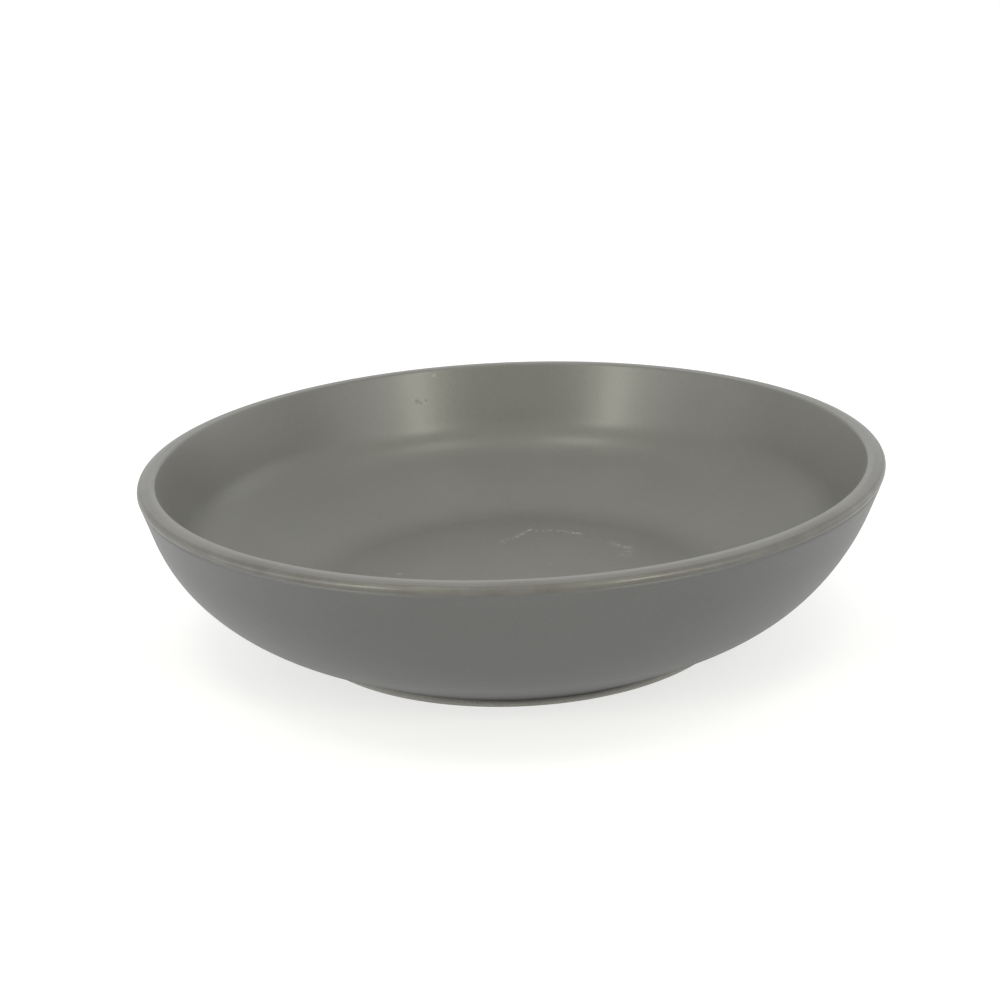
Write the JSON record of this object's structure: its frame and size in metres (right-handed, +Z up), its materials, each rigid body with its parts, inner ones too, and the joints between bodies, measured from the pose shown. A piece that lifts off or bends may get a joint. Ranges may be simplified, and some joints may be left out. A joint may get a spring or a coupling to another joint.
{
  "type": "salad bowl",
  "caption": "Low round stoneware salad bowl with a flared wall, rounded rim, flat floor and low foot ring, under a satin grey glaze.",
  "frame": {"origin": "centre of the foot ring on the table", "axes": "+Z up along the bowl's axis of revolution; X and Y are any two directions across the table"},
  "size_m": [0.25, 0.25, 0.06],
  "materials": {
    "stoneware": "bare fired stoneware, matt",
    "inside_glaze": "satin",
    "outside_glaze": "satin"
  },
  "bodies": {
    "root": {"bowl_body": "stoneware", "foot_ring": "stoneware", "inside_glaze": "inside_glaze", "outside_glaze": "outside_glaze", "underside_glaze": "outside_glaze"}
  },
  "joints": []
}
